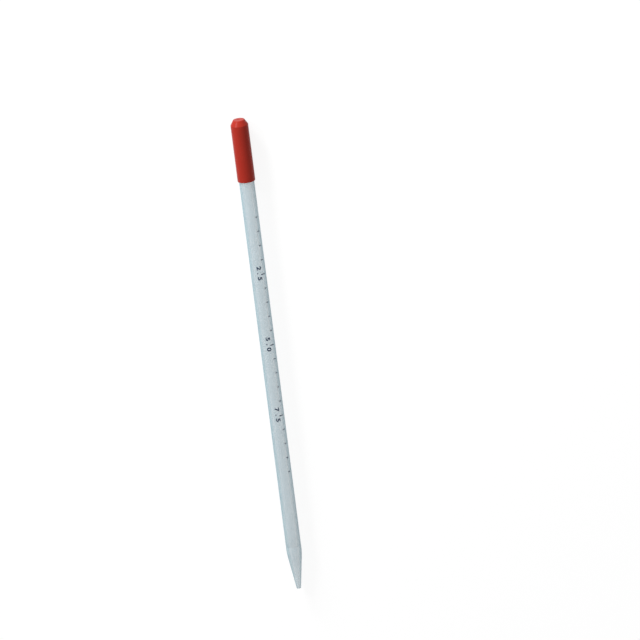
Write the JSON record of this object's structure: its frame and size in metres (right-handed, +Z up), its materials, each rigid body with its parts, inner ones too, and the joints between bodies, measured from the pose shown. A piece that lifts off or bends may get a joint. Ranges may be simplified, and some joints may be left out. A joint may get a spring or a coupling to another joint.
{
  "type": "serological pipette",
  "caption": "Graduated measuring pipette: clear tube with drawn tip, printed scale, fibre plug in its mouthpiece and a pull-off colour-coded cap.",
  "frame": {"origin": "centre of the footprint on the ground that the pipette lies on, half-way along its length", "axes": "+X along the pipette from the tip to the cap (0.18 degrees above the ground, as it rests on the cap's rim and on the barrel beside the tip), +Y to the left seen from the tip end looking towards the cap, +Z up"},
  "size_m": [0.34, 0.0122, 0.0123],
  "materials": {
    "clear_tube": "clear polystyrene with a faint blue-grey tint, smooth, slightly hazy",
    "fibre": "pressed white fibre",
    "cap": "red moulded plastic, satin",
    "ink": "dark navy printing ink"
  },
  "bodies": {
    "pipette": {"graduated_tube": "clear_tube", "filter_plug": "fibre", "scale_ticks": "ink"},
    "cap": {"cap": "cap"}
  },
  "joints": [
    {"name": "cap_pull", "type": "slide", "parent": "pipette", "child": "cap", "axis": [1, 0, 0.0032], "range_m": [0, 0.05]}
  ]
}
